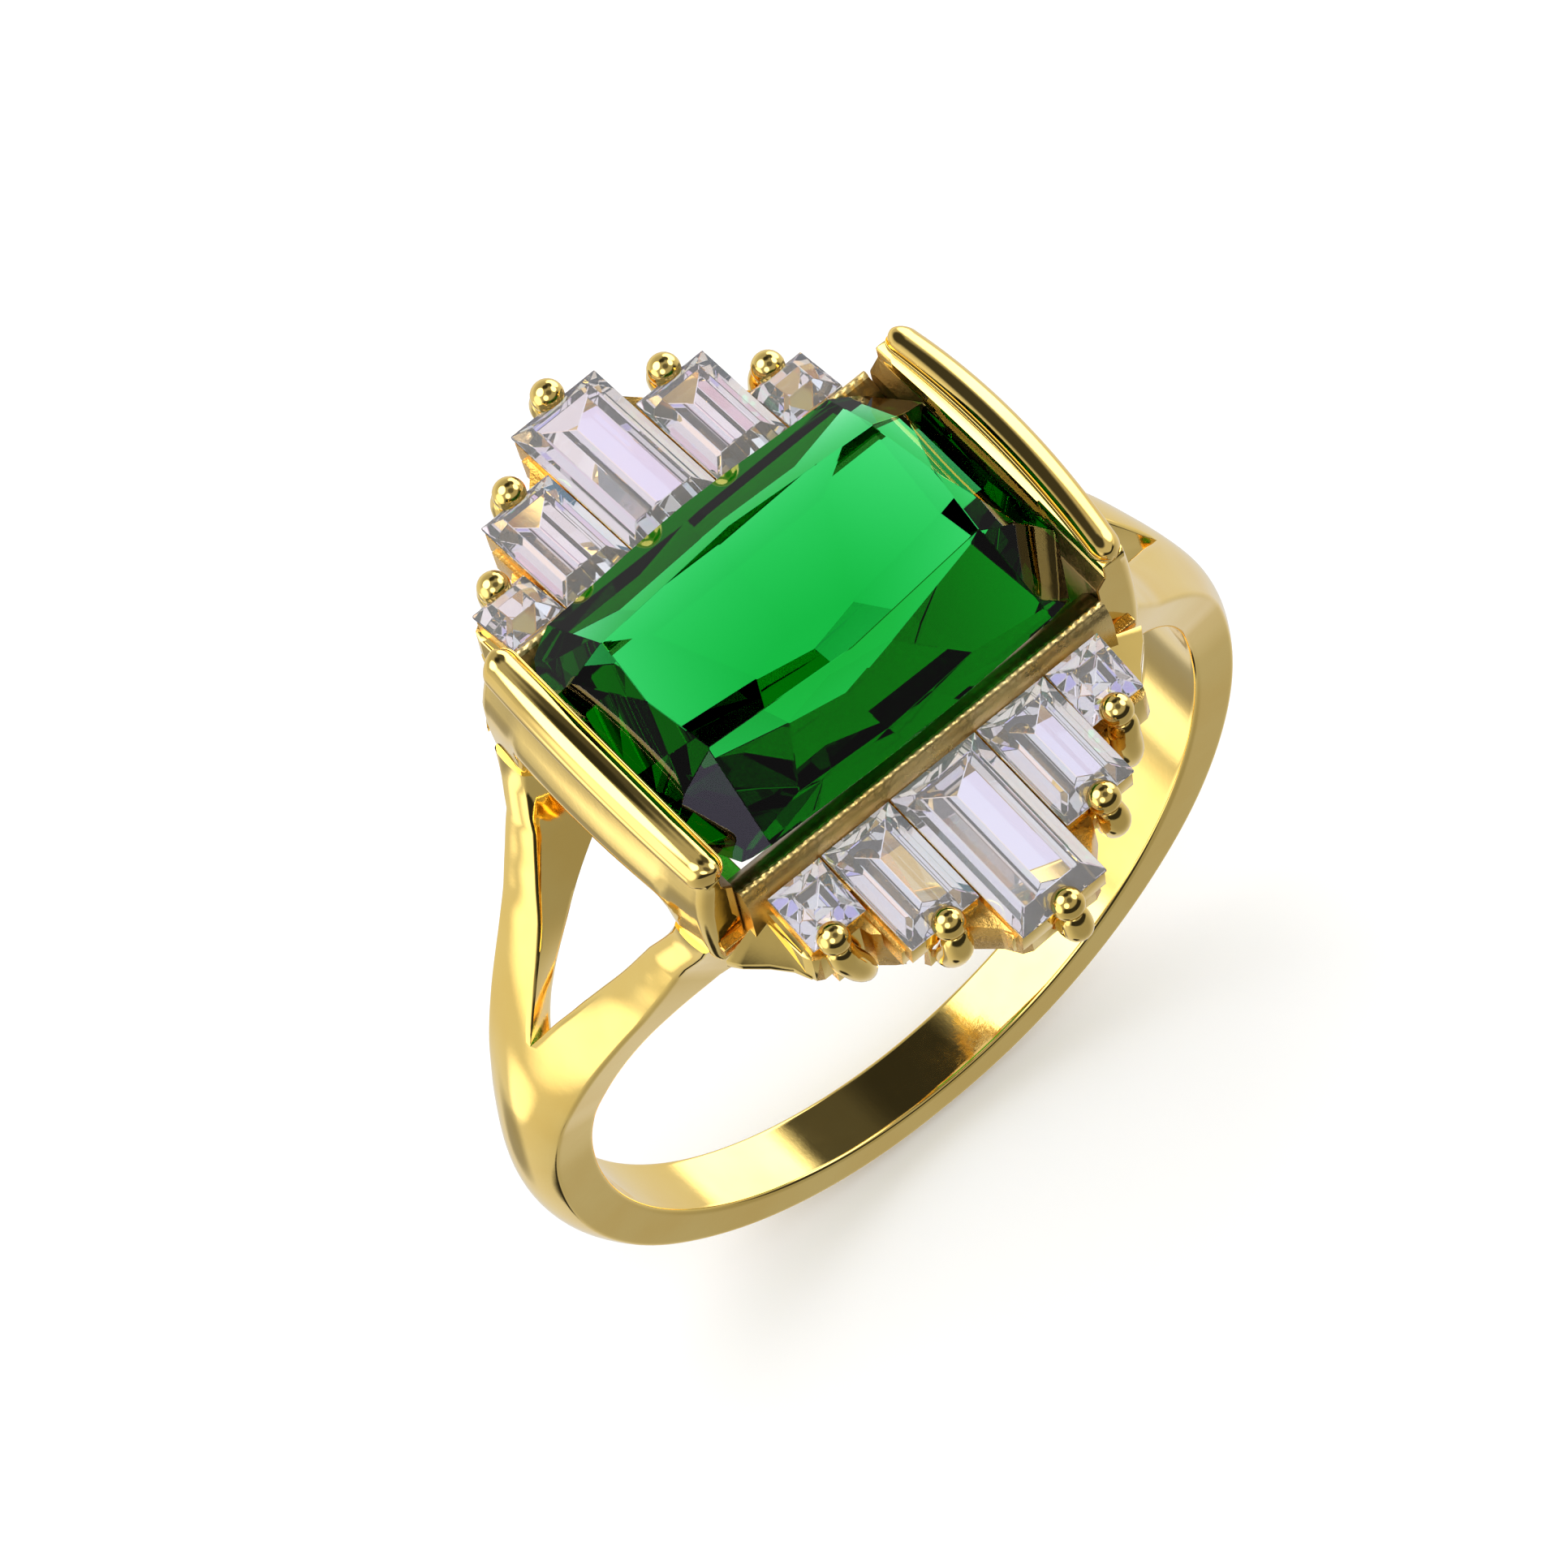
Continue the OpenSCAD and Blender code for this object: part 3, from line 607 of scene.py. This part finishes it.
def cut_stone(name, low, high, planes, place, material, node, edge=0.012):
    """A block in millimetres with everything beyond each plane cut away; a plane is a point, a compass turn and a lean from straight up."""
    bm = bmesh.new()
    bmesh.ops.create_cube(bm, size=1)
    for v in bm.verts:
        v.co = Vector([low[i] + (v.co[i] + 0.5) * (high[i] - low[i]) for i in range(3)])
    for point, turn, lean in planes:
        turn, lean = math.radians(turn), math.radians(lean)
        normal = Vector((math.sin(lean) * math.cos(turn), math.sin(lean) * math.sin(turn), math.cos(lean)))
        bmesh.ops.bisect_plane(
            bm, geom=bm.verts[:] + bm.edges[:] + bm.faces[:], dist=1e-5, plane_co=point, plane_no=normal, clear_outer=True
        )
        rim = [e for e in bm.edges if e.is_boundary]
        if rim:
            bmesh.ops.holes_fill(bm, edges=rim, sides=0)
    bmesh.ops.remove_doubles(bm, verts=bm.verts, dist=1e-3)
    bmesh.ops.dissolve_limit(bm, angle_limit=math.radians(0.3), verts=bm.verts, edges=bm.edges)
    bmesh.ops.bevel(bm, geom=bm.edges[:], offset=edge, offset_type="OFFSET", segments=1, profile=0.5, affect="EDGES", clamp_overlap=True)
    bmesh.ops.transform(bm, matrix=place, verts=bm.verts)
    bmesh.ops.scale(bm, vec=(MM, MM, MM), verts=bm.verts)
    bmesh.ops.recalc_face_normals(bm, faces=bm.faces)
    return finish_mesh(bm, name, material, [node], sharp=0)


LONG, WIDE, GIRDLE, CROWN, DEPTH = 5.45, 3.95, 11.72, 1.5, 2.72


def stone_planes():
    top, keel = GIRDLE + CROWN, GIRDLE - DEPTH
    up, down = GIRDLE + 0.1, GIRDLE - 0.1
    planes = []
    for sx in (-1, 1):
        for sy in (-1, 1):
            c, k = (0 if sx > 0 else 180), sx * sy
            planes += [
                ((sx * (LONG - 0.42), sy * (WIDE - 0.42), GIRDLE), c + k * 45, 90),
                ((sx * (LONG - 0.13), sy * (WIDE - 0.7), GIRDLE), c + k * 22, 90),
                ((sx * (LONG - 0.7), sy * (WIDE - 0.13), GIRDLE), c + k * 68, 90),
                ((sx * 4.1, 0, top), c + k * 7.6, 39.1),
                ((sx * 4.1, 0, top), c, 47.8),
                ((0, sy * 2.1, top), c + k * 85.6, 38.6),
                ((sx * 4.22, sy * 2.27, top - 0.6), c + k * 45, 46.7),
                ((sx * LONG, 0, up), c, 60),
                ((0, sy * WIDE, up), c + k * 90, 56),
                ((sx * LONG, 0, down), c + k * 3, 128),
                ((0, sy * WIDE, down), c + k * 88, 127),
                ((sx * (LONG - 0.4), sy * (WIDE - 0.4), down), c + k * 45, 130),
                ((sx * 4.6, sy * 0.4, down - 1.0), c + k * 14, 140),
                ((sx * 1.0, sy * 3.15, down - 0.95), c + k * 84, 139),
                ((sx * 1.4, 0, keel), c + k * 30, 155),
                ((sx * 0.6, sy * 0.2, keel), c + k * 78, 158),
            ]
    return planes, (-LONG, -WIDE, keel), (LONG, WIDE, top)


def baguette_planes(hx, hy):
    planes = []
    deep, inner = 0.92, 0.55
    for q in range(4):
        a = q * 90
        h = hx if q % 2 == 0 else hy
        d = Vector((math.cos(math.radians(a)), math.sin(math.radians(a)), 0))
        z = Vector((0, 0, 1))
        planes += [(d * h + z * 0.06, a, 58), (d * (h - 0.16) + z * 0.16, a, 40)]
        if q % 2 == 0:
            steep = math.degrees(math.atan((deep - 0.06) / hx)) + 8
            at = 0.06 + (1 - inner) * hx * math.tan(math.radians(steep))
            flat = math.degrees(math.atan((deep - at) / (inner * hx)))
            planes += [(d * h - z * 0.06, a, 180 - steep), (-z * deep, a, 180 - flat)]
        else:
            planes += [(d * h - z * 0.06, a, 125), (d * (h - 0.30) - z * 0.49, a, 140)]
    return planes


for side, word in ((-1, "front"), (1, "back")):
    refined(
        "tray_" + word, "seat_tray_" + word, GOLD_CAST, 0.02, merge=False,
        second=(GOLD, lambda centre, normal: abs(centre.x) > 4.72 or (abs(normal.y) > 0.9 and abs(centre.y) > 5.2)),
    )
    for i in range(5):
        long, half = SEAT_END[i] - FAN_START, SEAT_HALF[i]
        place = (
            Matrix.Scale(-1 if side > 0 else 1, 4, (0, 1, 0))
            @ Matrix.Translation((SEAT_X[i], -FAN_START, FAN_HEIGHT)) @ Matrix.Rotation(SEAT_TILT[i], 4, "X")
            @ Matrix.Translation((0, -long / 2, 0))
        )
        cut_stone(
            f"baguette_cut_{word}_{i + 1}", (-half, -long / 2, -0.92), (half, long / 2, 0.36), baguette_planes(half, long / 2),
            place, CLEAR, f"baguette_{word}_{i + 1}",
        )
refined("gallery", "gallery_frame", GOLD_CAST, 0.06)
planes, low, high = stone_planes()
cut_stone("stone_large", low, high, planes, Matrix.Identity(4), GREEN, "centre_stone")

# ---------------------------------------------------------------- floor, light


def plain(name, colour, rough=0.6):
    mat, tree, shader, _ = nodes_of(name)
    shader.inputs["Base Color"].default_value = (*colour, 1)
    shader.inputs["Roughness"].default_value = rough
    shader.inputs["Specular IOR Level"].default_value = 0.2
    return mat


def card(name, centre, facing, width, height, material):
    """A flat sheet facing a point, for the floor."""
    mesh = bpy.data.meshes.new(name)
    x, y = width / 2, height / 2
    mesh.from_pydata([(-x, -y, 0), (x, -y, 0), (x, y, 0), (-x, y, 0)], [], [(0, 1, 2, 3)])
    mesh.materials.append(material)
    obj = bpy.data.objects.new(name, mesh)
    bpy.context.scene.collection.objects.link(obj)
    obj.location = centre
    obj.rotation_euler = (Vector(facing) - Vector(centre)).to_track_quat("Z", "Y").to_euler()
    obj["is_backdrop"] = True
    return obj


def lamp(name, centre, width, height, radiance, target=(0, 0, 0.008), tint=(1, 1, 1)):
    light = bpy.data.lights.new(name, "AREA")
    light.shape = "RECTANGLE"
    light.size, light.size_y = width, height
    light.energy = radiance * math.pi * width * height
    light.color = tint
    obj = bpy.data.objects.new(name, light)
    bpy.context.scene.collection.objects.link(obj)
    obj.location = centre
    obj.rotation_euler = (Vector(target) - Vector(centre)).to_track_quat("-Z", "Y").to_euler()
    obj.visible_camera = False
    return obj


def tent(name, radius, sky, ground, front, panels, seen_by, objects, tints=()):
    """A round light tent that only the reflections or refractions of some pieces see: soft panels, and dark gaps between them."""
    mat = bpy.data.materials.new(name)
    mat.use_nodes = True
    tree = mat.node_tree
    tree.nodes.clear()
    link = tree.links.new
    out = tree.nodes.new("ShaderNodeOutputMaterial")
    shine = tree.nodes.new("ShaderNodeEmission")
    through = tree.nodes.new("ShaderNodeBsdfTransparent")
    both = tree.nodes.new("ShaderNodeAddShader")
    link(shine.outputs[0], both.inputs[0])
    link(through.outputs[0], both.inputs[1])
    link(both.outputs[0], out.inputs[0])
    where = add(tree, "ShaderNodeTexCoord")
    unit = add(tree, "ShaderNodeVectorMath", operation="NORMALIZE")
    link(where.outputs["Object"], unit.inputs[0])
    parts = tree.nodes.new("ShaderNodeSeparateXYZ")
    link(unit.outputs[0], parts.inputs[0])

    def smooth_step(source, a, b, low=0.0, high=1.0):
        node = add(tree, "ShaderNodeMapRange", interpolation_type="SMOOTHSTEP")
        link(source, node.inputs["Value"])
        for key, value in (("From Min", a), ("From Max", b), ("To Min", low), ("To Max", high)):
            node.inputs[key].default_value = value
        return node.outputs[0]

    def mixed(under, over, mask):
        node = add(tree, "ShaderNodeMix", data_type="FLOAT")
        link(mask, node.inputs[0])
        for socket, value in ((node.inputs[2], under), (node.inputs[3], over)):
            if isinstance(value, (int, float)):
                socket.default_value = value
            else:
                link(value, socket)
        return node.outputs[0]

    def times(a, b):
        node = add(tree, "ShaderNodeMath", operation="MULTIPLY")
        link(a, node.inputs[0])
        link(b, node.inputs[1])
        return node.outputs[0]

    def spot(direction, inner, outer):
        dot = add(tree, "ShaderNodeVectorMath", operation="DOT_PRODUCT")
        link(unit.outputs[0], dot.inputs[0])
        dot.inputs[1].default_value = Vector(direction).normalized()
        return smooth_step(dot.outputs["Value"], math.cos(math.radians(outer)), math.cos(math.radians(inner)))

    y, z = parts.outputs[1], parts.outputs[2]
    below = smooth_step(y, -0.75, 0.30, *ground)
    above = smooth_step(z, 0.0, 0.5, *sky)
    value = mixed(below, above, smooth_step(z, -0.12, 0.02))
    for direction, inner, outer, level in panels:
        value = mixed(value, level, spot(direction, inner, outer))
    dark = times(smooth_step(y, -0.25, -0.55), times(smooth_step(z, -0.16, -0.06), smooth_step(z, 0.52, 0.34)))
    link(mixed(value, front, dark), shine.inputs["Strength"])
    shine.inputs["Color"].default_value = (1.0, 0.985, 0.965, 1)
    colour = None
    for direction, inner, outer, tint in tints:
        mix = add(tree, "ShaderNodeMix", data_type="RGBA")
        link(spot(direction, inner, outer), mix.inputs[0])
        mix.inputs[6].default_value = (1.0, 0.985, 0.98, 1)
        mix.inputs[7].default_value = (*tint, 1)
        if colour:
            link(colour, mix.inputs[6])
        colour = mix.outputs[2]
        link(colour, shine.inputs["Color"])
    bm = bmesh.new()
    bmesh.ops.create_uvsphere(bm, u_segments=96, v_segments=48, radius=radius)
    mesh = bpy.data.meshes.new(name)
    bm.to_mesh(mesh)
    bm.free()
    mesh.materials.append(mat)
    obj = bpy.data.objects.new(name, mesh)
    bpy.context.scene.collection.objects.link(obj)
    obj.visible_camera = obj.visible_diffuse = obj.visible_shadow = obj.visible_volume_scatter = False
    obj.visible_glossy = seen_by == "glossy"
    obj.visible_transmission = seen_by == "transmission"
    lit = bpy.data.collections.new(name)
    for other in objects:
        lit.objects.link(other)
    obj.light_linking.receiver_collection = lit
    obj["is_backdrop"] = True


stones = [o for o in bpy.data.objects if o.name.startswith(("stone_", "baguette_cut_"))]
metal = [
    o for o in bpy.data.objects
    if o.name.startswith(("band", "wall_", "bar_round_left", "rail_", "claw_", "tray_", "gallery"))
]
# each panel: direction, angle where it is full, angle where it has faded, brightness
tent("tent_metal", 0.60, (0.60, 0.42), (0.35, 0.75), 0.03, (
    ((-0.50, 0.45, 0.74), 20, 29, 3.4),
    ((0.87, 0.44, 0.24), 20, 30, 2.8),
    ((-0.95, 0.15, 0.10), 18, 32, 1.7),
    ((-0.50, -0.50, 0.72), 12, 19, 2.6),
    ((0.75, -0.15, 0.65), 13, 20, 3.0),
    ((0.62, 0.44, 0.65), 11, 21, 0.08),
    ((0.24, 0.44, 0.86), 10, 21, 0.03),
    ((0.12, -0.28, 0.94), 12, 22, 0.12),
    ((-0.35, -0.15, -0.92), 6, 12, 0.03),
    ((-0.75, 0.40, -0.52), 5, 12, 1.6),
    ((-0.45, 0.42, -0.79), 5, 14, 0.36),
), "glossy", metal)
tent("tent_bar_right", 0.56, (0.9, 0.55), (0.35, 0.75), 0.03, (
    ((0.75, 0.44, 0.50), 25, 38, 2.9),
    ((-0.35, 0.44, 0.82), 22, 36, 0.05),
), "glossy", [bpy.data.objects["bar_round_right"]])
tent("tent_stone_faces", 0.64, (0.15, 0.10), (0.10, 0.20), 0.05, (
    ((-0.74, -0.53, 0.42), 15, 21, 1.7),
    ((0.24, 0.44, 0.86), 10, 21, 0.0),
), "glossy", stones, (((-0.74, -0.53, 0.42), 15, 21, (0.82, 0.75, 1.0)),))
tent("tent_green_depths", 0.68, (1.3, 1.3), (1.35, 1.45), 0.8, (
    ((-0.23, -0.44, 0.87), 5, 10, 0.25),
    ((0.55, -0.60, 0.58), 5, 10, 0.3),
    ((-0.75, -0.15, 0.65), 5, 10, 0.4),
    ((0.10, 0.75, 0.65), 5, 10, 0.4),
    ((0.80, 0.30, 0.50), 5, 10, 0.4),
), "transmission", stones[-1:])
tent("tent_clear_depths", 0.72, (0.80, 0.95), (0.75, 1.0), 0.7, (
    ((-0.23, -0.44, 0.87), 5, 10, 0.35),
    ((0.55, -0.60, 0.58), 6, 11, 1.6),
    ((-0.75, -0.15, 0.65), 6, 11, 1.7),
    ((0.10, 0.75, 0.65), 6, 11, 1.5),
    ((0.80, 0.30, 0.50), 5, 10, 0.5),
), "transmission", stones[:-1], (
    ((-0.50, 0.10, 0.86), 8, 13, (1.0, 0.55, 0.36)),
    ((0.35, -0.10, 0.93), 8, 13, (0.62, 0.58, 1.0)),
    ((-0.20, 0.55, 0.81), 8, 13, (1.0, 0.74, 0.92)),
    ((0.75, -0.20, 0.62), 7, 11, (0.55, 0.92, 1.0)),
    ((-0.85, -0.40, 0.35), 10, 16, (0.80, 0.72, 1.0)),
    ((0.30, 0.85, 0.42), 10, 16, (1.0, 0.80, 0.62)),
    ((-0.10, -0.80, -0.50), 20, 34, (0.95, 0.84, 0.93)),
    ((0.55, 0.30, -0.78), 18, 30, (1.0, 0.88, 0.76)),
    ((-0.60, 0.45, -0.66), 16, 26, (0.84, 0.80, 1.0)),
))

floor_z = cad_low.z
floor = card("floor", (0, 0, floor_z), (0, 0, 1), 6, 6, plain("floor_pale", (0.9, 0.9, 0.9)))
floor.rotation_euler = (0, 0, 0)
floor.visible_glossy = floor.visible_transmission = False
for lit in (
    lamp("top_light", (-0.10, 0.12, 0.42), 0.42, 0.34, 1.0),
    lamp("left_light", (-0.42, -0.10, 0.26), 0.20, 0.34, 0.3),
):
    lit.visible_glossy = lit.visible_transmission = False

world = bpy.data.worlds.new("studio")
world.use_nodes = True
world.node_tree.nodes["Background"].inputs[0].default_value = (1, 1, 1, 1)
world.node_tree.nodes["Background"].inputs[1].default_value = 1.25
for kind in ("glossy", "transmission"):
    setattr(world.cycles_visibility, kind, False)
bpy.context.scene.world = world
bpy.context.scene.view_settings.view_transform = "Standard"

low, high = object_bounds()
